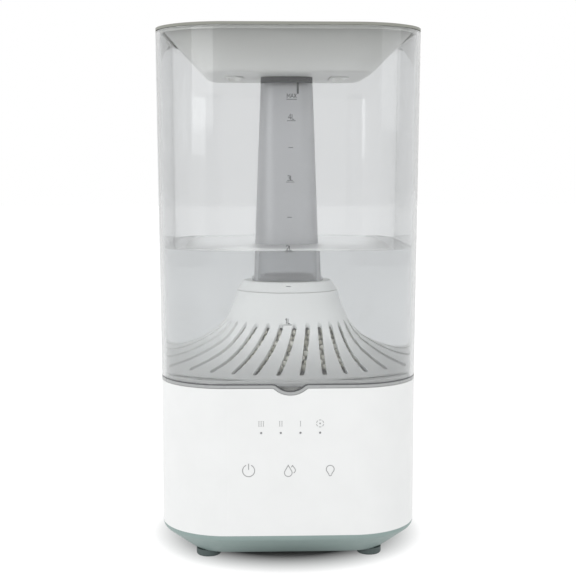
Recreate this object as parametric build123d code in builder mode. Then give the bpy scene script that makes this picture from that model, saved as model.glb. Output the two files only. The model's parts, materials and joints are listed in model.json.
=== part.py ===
from build123d import *
import math
import os

# Cool mist humidifier. Millimetres, +Z up, front towards -Y, origin on the floor at the centre.

# Plan outline: a square with bowed sides and round corners, shared by base and tank
base_half = 82.0
side_bow = 1.16
corner_radius = 43.5

# Clearances
fit_gap = 0.3
pin_gap = 0.1

# Base: feet, sloped skirt and housing
foot_height = 4.5
foot_radius = 8.0
foot_round = 1.4
foot_inset = 11.0
stem_radius = 2.8
pan_height = 16.5
pan_bottom_half = 63.6
pan_round = 5.0
roll_steps = 5
pan_floor = 2.5
pan_wall = 4.6
lip_wall = 1.8
lip_height = 4.0
housing_height = 94.3
housing_wall = 2.6
ledge_width = 3.2
ledge_height = 2.4

# Key tab: the tank's lower edge dips at the front, and the housing has the matching notch
tab_radius = 12.4
tab_depth = 4.4
tab_blend = 5.6

# Tank
tank_wall = 2.5
tank_height = 219.9
tank_flare = 1.85
tank_rim_round = 0.9
flange_thickness = 1.8
flange_width = 12.0
gasket_thickness = 0.8
floor_rise = 1.2
floor_thickness = 2.8

# Chimney and mist tube
chimney_radius = 18.6
chimney_wall = 2.0
chimney_drop = 2.0
chimney_stub = 3.4
tube_top_half = 17.25
tube_bottom_half = 22.1
tube_wall = 2.4
tube_top_corner = 9.0
tube_bottom_corner = 15.0
tube_lip = 1.4
tube_lip_height = 1.3
key_slot_width = 1.4
key_slot_length = 7.4
key_slot_x = 7.0

# Filter: collar, bell cover with swirled slots, core and beads
collar_height = 6.3
collar_top_radius = 29.0
collar_bottom_radius = 33.0
collar_round = 1.2
collar_skirt = 6.0
collar_skirt_wall = 2.2
bell_height = 50.6
bell_top_radius = 33.2
bell_sagitta = 8.7
bell_wall = 1.6
rim_gap = 2.5
rim_height = 0.8
slot_count = 30
slot_width = 3.0
slot_inner_radius = 41.5
slot_outer_radius = 71.0
slot_swirl = 11.0
bead_diameter = 4.6
bead_pitch = 5.2
core_wall = 1.5
core_holes = 24
core_hole_radius = 1.8

# Lid and nozzle
lid_depth = 26.1
lid_inset = 2.0
lid_skirt = 2.0
lid_skirt_wall = 1.6
lid_wall = 2.0
lid_flange = 1.9
lid_cover = 1.0
lid_edge_round = 6.0
lid_rim_round = 0.8
lid_band_drop = 0.4
fill_slot_length = 34.0
fill_slot_width = 8.0
fill_slot_x = 35.0
fill_rim_width = 2.2
fill_rim_height = 1.2
spigot_length = 5.9
spigot_wall = 1.7
seal_wall = 1.9
seal_band = 4.2
port_radius = 15.5
port_wall = 2.0
port_height = 15.0
port_step = 3.0
port_step_height = 4.0
nozzle_wall = 2.4
nozzle_height = 20.0
nozzle_slope = 24.0
nozzle_mouth_length = 21.0
nozzle_mouth_width = 10.0
nozzle_round = 1.0

# Basin
deck_drop = 5.7
deck_thickness = 2.4
deck_gasket_width = 3.0
pool_radius = 46.0
pool_depth = 23.6
pool_wall = 2.2

# Piezo disc and its clamp under the pool
disc_radius = 10.0
disc_thickness = 1.2
window_radius = 8.6
seal_radius = 12.0
seal_height = 3.8
boss_wall = 2.8
retainer_flange = 2.5
retainer_screw_circle = 17.6
retainer_post = 3.0

# Float in the pool
float_x = 31.0
float_y = -13.0
float_radius = 8.5
float_height = 9.0
float_travel = 8.0
float_post_radius = 2.3
magnet_radius = 5.2
magnet_height = 1.9
clip_radius = 4.4
clip_height = 2.0
reed_radius = 1.3
reed_length = 13.0

# Valve in the tank floor
valve_x = -30.5
valve_lift = 3.0
valve_disc_radius = 9.4
valve_disc_height = 2.0
valve_seal_height = 1.6
valve_stem_radius = 2.1
valve_stem_drop = 13.0
valve_clip_radius = 5.4
valve_clip_height = 1.5
valve_port_radius = 1.9
valve_port_circle = 5.6
spring_radius = 4.0
spring_wire = 0.8
spring_turns = 4

# Blower: a scroll on edge, its mouth upwards
blower_x = -31.0
blower_y = 48.0
blower_width = 16.0
blower_wall = 1.6
blower_lift = 29.0
scroll_start = 23.0
scroll_step = 2.0
scroll_mouth = 16.0
scroll_rise = 26.0
inlet_radius = 14.0
wheel_radius = 20.0
wheel_gap = 1.2
blade_count = 24
blade_depth = 5.0
blade_thickness = 0.9
blade_lean = 32.0
hub_radius = 10.5
hub_wall = 1.6
motor_radius = 8.0
motor_height = 6.2
shaft_radius = 1.0
duct_wall = 1.4
vent_count = 6
vent_width = 2.6
vent_length = 24.0
vent_pitch = 6.4

# Circuit boards
board_thickness = 1.6
driver_x = 29.0
driver_y = 30.0
driver_width = 38.0
driver_length = 48.0
driver_standoff = 6.8
driver_hole_inset = 4.0
screw_radius = 1.1
screw_head_radius = 2.2
screw_head_height = 1.3
screw_length = 5.0
sink_width = 15.0
sink_length = 30.0
sink_height = 20.0
sink_base = 2.6
sink_fins = 5
sink_fin = 1.3
part_gap = 1.0
cap_radius = 4.5
cap_height = 13.0
choke_radius = 6.0
choke_core = 2.6
connector_width = 9.0
connector_depth = 6.0
connector_height = 7.0

# Touch panel behind the front wall
touch_width = 70.0
touch_height = 52.0
touch_drop = 40.3
touch_gap = 4.4
touch_hole_inset = 4.0
touch_post_radius = 2.6
pad_radius = 4.4
pad_pitch = 25.2
pad_drop = 53.3
dot_radius = 0.62
dot_pitch = 12.3
dot_count = 4
dot_drop = 28.1
pipe_radius = 1.5
led_width = 2.2
led_height = 0.9

# Night light under the deck
light_y = -62.0
light_length = 30.0
light_width = 5.0
light_step = 2.0
light_lens_flange = 1.2
light_board_length = 54.0
light_board_width = 9.0
light_board_drop = 4.2
light_stake_radius = 1.0
light_stake_pitch = 46.0

# Power socket in the rear wall
jack_x = 30.0
jack_z = 36.0
jack_body_radius = 5.5
jack_body_length = 14.0
jack_nose_radius = 3.9
jack_bore_radius = 2.75
jack_bore_depth = 10.0
jack_pin_radius = 1.0
jack_tag = 3.0

# Screws that hold the pan to the housing
post_x = 56.0
post_y = 25.0
post_radius = 4.2
post_height = 52.0
post_web = 2.4
pan_screw_radius = 1.5
pan_screw_length = 15.0
pan_screw_head_radius = 3.0
pan_screw_head_height = 1.4

# Levels
pan_floor_top = foot_height + pan_floor
pan_top = foot_height + pan_height
housing_top = pan_top + housing_height
flange_bottom = housing_top + fit_gap
seam_z = flange_bottom + flange_thickness + gasket_thickness
gasket_drop = gasket_thickness
flange_drop = seam_z - flange_bottom
housing_drop = seam_z - housing_top
rim_z = seam_z + tank_height
floor_top = seam_z + floor_rise
floor_bottom = floor_top - floor_thickness
deck_top = housing_top - deck_drop
deck_bottom = deck_top - deck_thickness
pool_top = deck_top - pool_depth
pool_bottom = pool_top - pool_wall
touch_z = housing_top - touch_drop
pad_z = housing_top - pad_drop
dot_z = housing_top - dot_drop

# Plan sizes that follow from the outline
reach = 2 * base_half
housing_inner_half = base_half - housing_wall
wall_inner_y = housing_inner_half + side_bow
wall_outer_y = base_half + side_bow
foot_offset = pan_bottom_half - foot_inset
tank_inner_half = base_half - tank_wall


def bowed_square(half):
    """A square with bowed sides and round corners; outlines of every size run parallel."""
    corners = [(half, half), (-half, half), (-half, -half), (half, -half)]
    crown = half + side_bow
    crowns = [(0, crown), (-crown, 0), (0, -crown), (crown, 0)]
    with BuildSketch() as outline:
        with BuildLine():
            for side in range(4):
                ThreePointArc(corners[side], crowns[side], corners[(side + 1) % 4])
        make_face()
        fillet(outline.vertices(), corner_radius - base_half + half)
    return outline.sketch


def bowed_block(levels):
    """A solid that runs straight from level to level, each given as (z, half-width)."""
    with BuildPart() as block:
        for z, half in levels:
            with BuildSketch(Plane.XY.offset(z)):
                add(bowed_square(half))
        loft(ruled=True)
    return block.part


def bowed_ring(bottom, top, outer_half, inner_half):
    """An upright ring between two parallel outlines."""
    with BuildPart() as ring:
        add(bowed_block([(bottom, outer_half), (top, outer_half)]))
        add(bowed_block([(bottom, inner_half), (top, inner_half)]), mode=Mode.SUBTRACT)
    return ring.part


def above_seam(drop):
    """All that lies above the seam line lowered by `drop`, with the key tab's dip at the front."""
    level = seam_z - drop
    with BuildPart() as region:
        with BuildSketch(Plane.XY.offset(level)):
            Rectangle(2 * reach, 2 * reach)
        extrude(amount=2 * reach)
        with BuildSketch(Plane.XZ.offset(tank_inner_half)) as dip:
            with Locations((0, level + reach / 2)):
                Rectangle(reach, reach)
            with Locations((0, seam_z - tab_depth + tab_radius)):
                Circle(tab_radius + drop)
            roots = dip.vertices().filter_by(lambda v: abs(v.Y - level) < 0.01 and abs(v.X) < reach / 4)
            fillet(roots, tab_blend - drop)
        extrude(amount=reach)
    return region.part


def tank_half(z):
    """Half-width of the tank's outside at height z."""
    return base_half + tank_flare * (z - seam_z) / tank_height


# The bell of the filter: one arc from the collar to the rim, and arcs parallel to it further in
rim_radius = tank_inner_half - rim_gap
rim_bottom = floor_top + fit_gap
rim_top = rim_bottom + rim_height
bell_top = rim_top + bell_height
bell_chord_r = rim_radius - bell_top_radius
bell_chord = math.hypot(bell_chord_r, bell_height)
bell_radius = bell_chord**2 / (8 * bell_sagitta) + bell_sagitta / 2
bell_centre_r = (rim_radius + bell_top_radius) / 2 + bell_height / bell_chord * (bell_radius - bell_sagitta)
bell_centre_z = (rim_top + bell_top) / 2 + bell_chord_r / bell_chord * (bell_radius - bell_sagitta)
bead_radius = bead_diameter / 2
bead_depth = bell_wall + fit_gap + bead_radius
core_depth = bead_depth + bead_radius + fit_gap


def bell_at_z(depth, z):
    """Angle on the bell arc, `depth` under its outside, at height z."""
    return math.asin((bell_centre_z - z) / (bell_radius + depth))


def bell_at_r(depth, r):
    """Angle on the bell arc, `depth` under its outside, at distance r from the axis."""
    return math.acos((bell_centre_r - r) / (bell_radius + depth))


def bell_point(depth, angle):
    """Point (r, z) on the bell arc that lies `depth` under its outside."""
    swing = bell_radius + depth
    return (bell_centre_r - swing * math.cos(angle), bell_centre_z - swing * math.sin(angle))


def bell_arc(depth, start, end):
    """The arc itself, between two angles."""
    return ThreePointArc(
        bell_point(depth, start), bell_point(depth, (start + end) / 2), bell_point(depth, end)
    )


os.makedirs("parts", exist_ok=True)


def finish(piece, name):
    """Labels a finished piece and writes its file."""
    piece.part.label = name
    export_step(piece.part, f"parts/{name}.step")


# Feet, each with a stem in the pan's floor
with BuildPart() as feet:
    with BuildSketch():
        with GridLocations(2 * foot_offset, 2 * foot_offset, 2, 2):
            Circle(foot_radius)
    extrude(amount=foot_height)
    fillet(feet.edges().group_by(Axis.Z)[0], foot_round)
    with BuildSketch(Plane.XY.offset(foot_height)):
        with GridLocations(2 * foot_offset, 2 * foot_offset, 2, 2):
            Circle(stem_radius)
    extrude(amount=pan_floor)
finish(feet, "feet")

# Base pan: the sloped skirt rolls over into the housing's side
roll_half = base_half - pan_round
slope_run = pan_bottom_half - roll_half
roll_end = math.atan2(-pan_height, slope_run) + math.acos(pan_round / math.hypot(pan_height, slope_run))
pan_levels = [(foot_height, pan_bottom_half)]
for step in range(roll_steps + 1):
    roll_angle = roll_end * (1 - step / roll_steps)
    pan_levels.append(
        (pan_top + pan_round * math.sin(roll_angle), roll_half + pan_round * math.cos(roll_angle))
    )
lip_half = housing_inner_half - fit_gap
hollow_half = lip_half - lip_wall
driver_board_bottom = pan_floor_top + driver_standoff
driver_holes = (driver_width - 2 * driver_hole_inset, driver_length - 2 * driver_hole_inset)
vent_y = blower_y - blower_width / 2 - vent_length / 2 - 2 * vent_width
with BuildPart() as base_pan:
    add(bowed_block(pan_levels))
    fillet(base_pan.faces().sort_by(Axis.Z)[0].edges(), foot_round)
    add(bowed_ring(pan_top, pan_top + lip_height, lip_half, hollow_half))
    add(
        bowed_block([(pan_floor_top, pan_bottom_half - pan_wall / 2), (pan_top, hollow_half)]),
        mode=Mode.SUBTRACT,
    )
    with BuildSketch(Plane.XY.offset(pan_floor_top)):
        with Locations((driver_x, driver_y)):
            with GridLocations(*driver_holes, 2, 2):
                Circle(screw_head_radius + screw_radius)
    extrude(amount=driver_standoff)
    with BuildSketch(Plane.XY.offset(driver_board_bottom)):
        with Locations((driver_x, driver_y)):
            with GridLocations(*driver_holes, 2, 2):
                Circle(screw_radius + pin_gap)
    extrude(amount=-screw_length, mode=Mode.SUBTRACT)
    with BuildSketch(Plane.XY.offset(foot_height)):
        with GridLocations(2 * foot_offset, 2 * foot_offset, 2, 2):
            Circle(stem_radius + pin_gap)
        with GridLocations(2 * post_x, 2 * post_y, 2, 2):
            Circle(pan_screw_radius + pin_gap)
        with Locations((blower_x, vent_y)):
            with GridLocations(vent_pitch, vent_length, vent_count, 1):
                SlotOverall(vent_length, vent_width, rotation=90)
    extrude(amount=pan_floor, mode=Mode.SUBTRACT)
    with BuildSketch(Plane.XY.offset(foot_height)):
        with GridLocations(2 * post_x, 2 * post_y, 2, 2):
            Circle(pan_screw_head_radius + pin_gap)
    extrude(amount=pan_screw_head_height + pin_gap, mode=Mode.SUBTRACT)
finish(base_pan, "base_pan")

# Base housing: upright walls, a ledge for the basin, screw posts and the front notch
touch_front_y = wall_inner_y - touch_gap
touch_holes = (touch_width - 2 * touch_hole_inset, touch_height - 2 * touch_hole_inset)
post_bottom = pan_floor_top + fit_gap
ledge_top = deck_bottom - fit_gap
with BuildPart() as base_housing:
    add(bowed_ring(pan_top, seam_z, base_half, housing_inner_half))
    add(above_seam(housing_drop), mode=Mode.SUBTRACT)
    ledge_half = housing_inner_half - ledge_width
    add(bowed_ring(ledge_top - ledge_height, ledge_top, housing_inner_half, ledge_half))
    with BuildSketch(Plane.XY.offset(post_bottom)):
        with GridLocations(2 * post_x, 2 * post_y, 2, 2):
            Circle(post_radius)
    extrude(amount=post_height)
    web_length = housing_inner_half - post_x + housing_wall / 2
    with BuildSketch(Plane.XY.offset(pan_top + lip_height + fit_gap)):
        with GridLocations(2 * post_x + web_length, 2 * post_y, 2, 2):
            Rectangle(web_length, post_web)
    extrude(amount=post_bottom + post_height - pan_top - lip_height - fit_gap)
    with BuildSketch(Plane.XZ.offset(touch_front_y)):
        with Locations((0, touch_z)):
            with GridLocations(*touch_holes, 2, 2):
                Circle(touch_post_radius)
    extrude(amount=touch_gap + housing_wall / 2)
    with BuildSketch(Plane.XY.offset(post_bottom)):
        with GridLocations(2 * post_x, 2 * post_y, 2, 2):
            Circle(pan_screw_radius + pin_gap)
    extrude(amount=pan_screw_length, mode=Mode.SUBTRACT)
    with BuildSketch(Plane.XZ.offset(touch_front_y)):
        with Locations((0, touch_z)):
            with GridLocations(*touch_holes, 2, 2):
                Circle(screw_radius + pin_gap)
    extrude(amount=screw_length - board_thickness + pin_gap, mode=Mode.SUBTRACT)
    with BuildSketch(Plane.XZ.offset(touch_front_y)):
        with Locations((0, dot_z)):
            with GridLocations(dot_pitch, dot_pitch, dot_count, 1):
                Circle(dot_radius + pin_gap)
    extrude(amount=reach, mode=Mode.SUBTRACT)
    with BuildSketch(Plane.XZ.offset(-touch_front_y)):
        with Locations((jack_x, jack_z)):
            Circle(jack_nose_radius + pin_gap)
    extrude(amount=-reach, mode=Mode.SUBTRACT)
finish(base_housing, "base_housing")

# Screws from below, through the pan into the housing's posts
with BuildPart() as pan_screws:
    with BuildSketch(Plane.XY.offset(foot_height + pin_gap)):
        with GridLocations(2 * post_x, 2 * post_y, 2, 2):
            Circle(pan_screw_head_radius)
    extrude(amount=pan_screw_head_height - pin_gap)
    with BuildSketch(Plane.XY.offset(foot_height + pan_screw_head_height)):
        with GridLocations(2 * post_x, 2 * post_y, 2, 2):
            Circle(pan_screw_radius)
    extrude(amount=pan_screw_length)
finish(pan_screws, "pan_screws")

# Basin: a deck on the housing's ledge, with the pool, the disc's clamp boss and the two posts
valve_stem_bottom = floor_bottom - valve_stem_drop
boss_bottom = pool_bottom - seal_height - retainer_flange
air_x = blower_x - scroll_start - 3 * scroll_step + scroll_mouth / 2
air_mouth = scroll_mouth - 2 * duct_wall
deck_half = housing_inner_half - fit_gap
float_clip_bottom = pool_top + fit_gap + float_height + float_travel + fit_gap
light_stakes = [(-light_stake_pitch / 2, light_y), (light_stake_pitch / 2, light_y)]
light_board_top = deck_bottom - light_board_drop
with BuildPart() as basin:
    add(bowed_block([(deck_bottom, deck_half), (deck_top, deck_half)]))
    with BuildSketch(Plane.XY.offset(pool_bottom)):
        Circle(pool_radius + pool_wall)
    extrude(amount=deck_bottom - pool_bottom)
    with BuildSketch(Plane.XY.offset(pool_top)):
        Circle(pool_radius)
    extrude(amount=pool_depth, mode=Mode.SUBTRACT)
    with BuildSketch(Plane.XY.offset(boss_bottom)):
        Circle(seal_radius + pin_gap + boss_wall)
        with PolarLocations(retainer_screw_circle, 3, 90):
            Circle(retainer_post)
    extrude(amount=pool_bottom - boss_bottom)
    with BuildSketch(Plane.XY.offset(boss_bottom)):
        Circle(seal_radius + pin_gap)
    extrude(amount=pool_bottom - boss_bottom, mode=Mode.SUBTRACT)
    with BuildSketch(Plane.XY.offset(boss_bottom)):
        with PolarLocations(retainer_screw_circle, 3, 90):
            Circle(screw_radius + pin_gap)
    extrude(amount=screw_length, mode=Mode.SUBTRACT)
    with BuildSketch(Plane.XY.offset(pool_bottom)):
        Circle(window_radius)
    extrude(amount=pool_wall, mode=Mode.SUBTRACT)
    with BuildSketch(Plane.XY.offset(pool_top)):
        with Locations((float_x, float_y)):
            Circle(float_post_radius)
    extrude(amount=float_clip_bottom + clip_height - pool_top)
    with BuildSketch(Plane.XY.offset(pool_top)):
        with Locations((valve_x, 0)):
            Circle(valve_stem_radius + fit_gap)
    extrude(amount=valve_stem_bottom - fit_gap - pool_top)
    with BuildSketch(Plane.XY.offset(deck_bottom)):
        with Locations((air_x, blower_y)):
            Rectangle(air_mouth, air_mouth)
        with Locations((0, light_y)):
            SlotOverall(light_length, light_width)
    extrude(amount=deck_thickness, mode=Mode.SUBTRACT)
    with BuildSketch(Plane.XY.offset(light_board_top)):
        with Locations(*light_stakes):
            Circle(2 * light_stake_radius)
    extrude(amount=light_board_drop)
    with BuildSketch(Plane.XY.offset(light_board_top)):
        with Locations(*light_stakes):
            Circle(light_stake_radius)
    extrude(amount=-board_thickness - light_stake_radius)
finish(basin, "basin")

# Gasket round the deck, under the tank's flange
gasket_half = base_half - flange_width / 2
with BuildPart() as deck_gasket:
    add(bowed_ring(deck_top, housing_top, gasket_half, gasket_half - deck_gasket_width))
finish(deck_gasket, "deck_gasket")

# Piezo disc in a rubber ring, pressed up by a clamp plate with three screws
disc_bottom = pool_bottom - seal_height / 2 - disc_thickness / 2
with BuildPart() as transducer_disc:
    with BuildSketch(Plane.XY.offset(disc_bottom)):
        Circle(disc_radius)
    extrude(amount=disc_thickness)
finish(transducer_disc, "transducer_disc")

with BuildPart() as transducer_seal:
    with BuildSketch(Plane.XY.offset(pool_bottom - seal_height)):
        Circle(seal_radius)
        Circle(window_radius, mode=Mode.SUBTRACT)
    extrude(amount=seal_height)
    with BuildSketch(Plane.XY.offset(disc_bottom - pin_gap)):
        Circle(disc_radius + pin_gap)
    extrude(amount=disc_thickness + 2 * pin_gap, mode=Mode.SUBTRACT)
finish(transducer_seal, "transducer_seal")

retainer_bottom = boss_bottom - retainer_flange
with BuildPart() as transducer_retainer:
    with BuildSketch(Plane.XY.offset(retainer_bottom)):
        Circle(seal_radius + boss_wall)
        with PolarLocations(retainer_screw_circle, 3, 90):
            Circle(retainer_post)
    extrude(amount=retainer_flange)
    with BuildSketch(Plane.XY.offset(boss_bottom)):
        Circle(seal_radius - pin_gap)
    extrude(amount=retainer_flange)
    with BuildSketch(Plane.XY.offset(retainer_bottom)):
        Circle(window_radius)
        with PolarLocations(retainer_screw_circle, 3, 90):
            Circle(screw_radius + pin_gap)
    extrude(amount=2 * retainer_flange, mode=Mode.SUBTRACT)
finish(transducer_retainer, "transducer_retainer")

with BuildPart() as transducer_screws:
    with BuildSketch(Plane.XY.offset(retainer_bottom - screw_head_height)):
        with PolarLocations(retainer_screw_circle, 3, 90):
            Circle(screw_head_radius)
    extrude(amount=screw_head_height)
    with BuildSketch(Plane.XY.offset(retainer_bottom)):
        with PolarLocations(retainer_screw_circle, 3, 90):
            Circle(screw_radius)
    extrude(amount=screw_length)
finish(transducer_screws, "transducer_screws")

# Float that rides on its post, with a ring magnet, a clip above and a reed switch below
float_bottom = pool_top + fit_gap
with BuildPart() as water_float:
    with BuildSketch(Plane.XY.offset(float_bottom)):
        with Locations((float_x, float_y)):
            Circle(float_radius)
            Circle(float_post_radius + fit_gap, mode=Mode.SUBTRACT)
    extrude(amount=float_height)
    fillet(water_float.edges().group_by(Axis.Z)[-1].sort_by(SortBy.LENGTH)[-1], foot_round)
    with BuildSketch(Plane.XY.offset(float_bottom)):
        with Locations((float_x, float_y)):
            Circle(magnet_radius + pin_gap)
    extrude(amount=magnet_height + pin_gap, mode=Mode.SUBTRACT)
finish(water_float, "float")

with BuildPart() as float_magnet:
    with BuildSketch(Plane.XY.offset(float_bottom)):
        with Locations((float_x, float_y)):
            Circle(magnet_radius)
            Circle(float_post_radius + fit_gap, mode=Mode.SUBTRACT)
    extrude(amount=magnet_height)
finish(float_magnet, "float_magnet")

with BuildPart() as float_clip:
    with BuildSketch(Plane.XY.offset(float_clip_bottom)):
        with Locations((float_x, float_y)):
            Circle(clip_radius)
            Circle(float_post_radius + pin_gap, mode=Mode.SUBTRACT)
    extrude(amount=clip_height)
finish(float_clip, "float_clip")

with BuildPart() as reed_switch:
    with BuildSketch(Plane.YZ.offset(float_x - reed_length / 2)):
        with Locations((float_y, pool_bottom - fit_gap - reed_radius)):
            Circle(reed_radius)
    extrude(amount=reed_length)
finish(reed_switch, "reed_switch")

# Tank floor: flange with the key tab, plate inside the wall, chimney and valve ports
plug_half = tank_inner_half - fit_gap
chimney_top = bell_top + fit_gap + collar_height + chimney_stub
with BuildPart() as tank_floor:
    add(bowed_block([(flange_bottom - 2 * tab_depth, base_half), (seam_z, base_half)]))
    add(above_seam(flange_drop), mode=Mode.INTERSECT)
    add(above_seam(gasket_drop), mode=Mode.SUBTRACT)
    pocket_half = base_half - flange_width
    add(
        bowed_block([(flange_bottom, pocket_half), (floor_bottom, pocket_half)]),
        mode=Mode.SUBTRACT,
    )
    add(bowed_block([(floor_bottom, plug_half), (floor_top, plug_half)]))
    with BuildSketch(Plane.XY.offset(floor_bottom - chimney_drop)):
        Circle(chimney_radius)
    extrude(amount=chimney_top - floor_bottom + chimney_drop)
    with BuildSketch(Plane.XY.offset(floor_bottom - chimney_drop)):
        Circle(chimney_radius - chimney_wall)
    extrude(amount=chimney_top - floor_bottom + chimney_drop, mode=Mode.SUBTRACT)
    with BuildSketch(Plane.XY.offset(floor_bottom)):
        with Locations((valve_x, 0)):
            Circle(valve_stem_radius + fit_gap)
            with PolarLocations(valve_port_circle, 6):
                Circle(valve_port_radius)
    extrude(amount=floor_thickness, mode=Mode.SUBTRACT)
finish(tank_floor, "tank_floor")

# Dark seal between the tank's wall and its floor
with BuildPart() as tank_gasket:
    add(
        bowed_ring(
            seam_z - gasket_drop - tab_depth,
            seam_z,
            base_half - pin_gap,
            tank_inner_half,
        )
    )
    add(above_seam(gasket_drop), mode=Mode.INTERSECT)
    add(above_seam(pin_gap), mode=Mode.SUBTRACT)
finish(tank_gasket, "tank_gasket")

# Clear tank wall: four bowed sides that lean out a little, open at the top
skirt_z = seam_z - tab_depth
with BuildPart() as tank_shell:
    add(bowed_block([(skirt_z, tank_half(skirt_z)), (rim_z, tank_half(rim_z))]))
    add(
        bowed_block([(skirt_z, tank_half(skirt_z) - tank_wall), (rim_z, tank_half(rim_z) - tank_wall)]),
        mode=Mode.SUBTRACT,
    )
    add(above_seam(0), mode=Mode.INTERSECT)
    fillet(tank_shell.edges().group_by(Axis.Z)[-1], tank_rim_round)
finish(tank_shell, "tank_shell")

# Valve: a disc on a stem that the basin's post holds open, with its seal, spring and clip
valve_seal_bottom = floor_top + pin_gap + valve_lift
valve_disc_bottom = valve_seal_bottom + valve_seal_height
with BuildPart() as valve_plunger:
    with BuildSketch(Plane.XY.offset(valve_disc_bottom)):
        with Locations((valve_x, 0)):
            Circle(valve_disc_radius)
    extrude(amount=valve_disc_height)
    with BuildSketch(Plane.XY.offset(valve_stem_bottom)):
        with Locations((valve_x, 0)):
            Circle(valve_stem_radius)
    extrude(amount=valve_disc_bottom - valve_stem_bottom)
finish(valve_plunger, "valve_plunger")

with BuildPart() as valve_seal:
    with BuildSketch(Plane.XY.offset(valve_seal_bottom)):
        with Locations((valve_x, 0)):
            Circle(valve_disc_radius - pin_gap)
            Circle(valve_stem_radius + pin_gap, mode=Mode.SUBTRACT)
    extrude(amount=valve_seal_height)
finish(valve_seal, "valve_seal")

with BuildPart() as valve_clip:
    with BuildSketch(Plane.XY.offset(valve_stem_bottom)):
        with Locations((valve_x, 0)):
            Circle(valve_clip_radius)
            Circle(valve_stem_radius + pin_gap, mode=Mode.SUBTRACT)
    extrude(amount=valve_clip_height)
finish(valve_clip, "valve_clip")

# The spring's turns climb from the clip to the floor, a quarter turn to each arc
spring_bottom = valve_stem_bottom + valve_clip_height + pin_gap + spring_wire / 2
spring_top = floor_bottom - pin_gap - spring_wire / 2


def spring_point(turn):
    """Centre of the wire after a number of turns."""
    angle = 2 * math.pi * turn
    return (
        valve_x + spring_radius * math.cos(angle),
        spring_radius * math.sin(angle),
        spring_bottom + (spring_top - spring_bottom) * turn / spring_turns,
    )


with BuildPart() as valve_spring:
    with BuildLine() as spring_line:
        for quarter in range(4 * spring_turns):
            ThreePointArc(*(spring_point((2 * quarter + k) / 8) for k in range(3)))
    with BuildSketch(Plane(origin=spring_line.line @ 0, z_dir=spring_line.line % 0)):
        Circle(spring_wire / 2)
    sweep(path=spring_line.line)
finish(valve_spring, "valve_spring")

# Filter cover: the bell, with a rim on the tank's floor and swirled slots round it
slot_ends = [
    Vector(slot_outer_radius, 0),
    Vector(slot_inner_radius, 0).rotate(Axis.Z, slot_swirl),
]
slot_middle = (slot_ends[0] + slot_ends[1]) * 0.5
slot_line = slot_ends[1] - slot_ends[0]
slot_turn = math.degrees(math.atan2(slot_line.Y, slot_line.X))
with BuildPart() as filter_cover:
    with BuildSketch(Plane.XZ):
        with BuildLine():
            outside = bell_arc(0, bell_at_z(0, bell_top), bell_at_z(0, rim_top))
            inner_rim = bell_at_r(bell_wall, rim_radius - bell_wall)
            inside = bell_arc(bell_wall, inner_rim, bell_at_z(bell_wall, bell_top))
            Polyline(
                outside @ 1,
                (rim_radius, rim_bottom),
                (rim_radius - bell_wall, rim_bottom),
                inside @ 0,
            )
            Line(inside @ 1, outside @ 0)
        make_face()
    revolve(axis=Axis.Z)
    with BuildSketch(Plane.XY.offset(rim_top)):
        for k in range(slot_count):
            with Locations(slot_middle.rotate(Axis.Z, 360 * k / slot_count)):
                SlotCenterToCenter(slot_line.length, slot_width, rotation=slot_turn + 360 * k / slot_count)
    extrude(amount=bell_height, mode=Mode.SUBTRACT)
finish(filter_cover, "filter_cover")

# Collar on the bell, round the chimney
collar_bottom = bell_top + fit_gap
collar_top = collar_bottom + collar_height
collar_bore = chimney_radius + fit_gap
skirt_radius = bell_point(bell_wall, bell_at_z(bell_wall, bell_top))[0] - fit_gap
with BuildPart() as filter_collar:
    with BuildSketch(Plane.XZ):
        with BuildLine():
            Polyline(
                (collar_bore, collar_bottom),
                (skirt_radius - collar_skirt_wall, collar_bottom),
                (skirt_radius - collar_skirt_wall, collar_bottom - collar_skirt),
                (skirt_radius, collar_bottom - collar_skirt),
                (skirt_radius, collar_bottom),
                (collar_bottom_radius, collar_bottom),
                (collar_top_radius, collar_top),
                (collar_bore, collar_top),
                close=True,
            )
        make_face()
    revolve(axis=Axis.Z)
    fillet(filter_collar.edges().group_by(Axis.Z)[-1].sort_by(SortBy.LENGTH)[-1], collar_round)
finish(filter_collar, "filter_collar")

# Core: the inner wall of the bead bed, with a flange that closes it below
core_top = collar_bottom - collar_skirt - fit_gap
core_flange_top = rim_bottom + core_wall
with BuildPart() as filter_core:
    with BuildSketch(Plane.XZ):
        with BuildLine():
            core_out = bell_arc(
                core_depth, bell_at_z(core_depth, core_top), bell_at_z(core_depth, core_flange_top)
            )
            core_in = bell_arc(
                core_depth + core_wall,
                bell_at_z(core_depth + core_wall, rim_bottom),
                bell_at_z(core_depth + core_wall, core_top),
            )
            core_rim = bell_point(bell_wall, bell_at_z(bell_wall, core_flange_top + fit_gap))[0]
            Polyline(core_out @ 1, (core_rim, core_flange_top), (core_rim, rim_bottom), core_in @ 0)
            Line(core_in @ 1, core_out @ 0)
        make_face()
    revolve(axis=Axis.Z)
    with BuildSketch(Plane.XY.offset(rim_bottom)):
        with PolarLocations((slot_inner_radius + slot_outer_radius) / 2 - bead_diameter, core_holes):
            Circle(core_hole_radius)
    extrude(amount=bell_height, mode=Mode.SUBTRACT)
finish(filter_core, "filter_core")

# Ceramic beads: a row of them under every slot, at an even pitch down the bell
bead_start = bell_at_r(bead_depth, slot_inner_radius)
bead_end = bell_at_z(bead_depth, core_flange_top + fit_gap + bead_radius)
bead_step = bead_pitch / (bell_radius + bead_depth)
bead_rows = int((bead_end - bead_start) / bead_step) + 1


def slot_azimuth(r):
    """Angle round the axis at which a slot's centre line passes the distance r."""
    span = slot_line.length
    along = slot_line.normalized()
    middle = slot_ends[0].dot(along)
    offset_squared = max(slot_ends[0].dot(slot_ends[0]) - middle**2, 0)
    travel = -middle - math.sqrt(max(r**2 - offset_squared, 0))
    point = slot_ends[0] + along * min(max(travel, 0), span)
    return math.atan2(point.Y, point.X)


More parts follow.
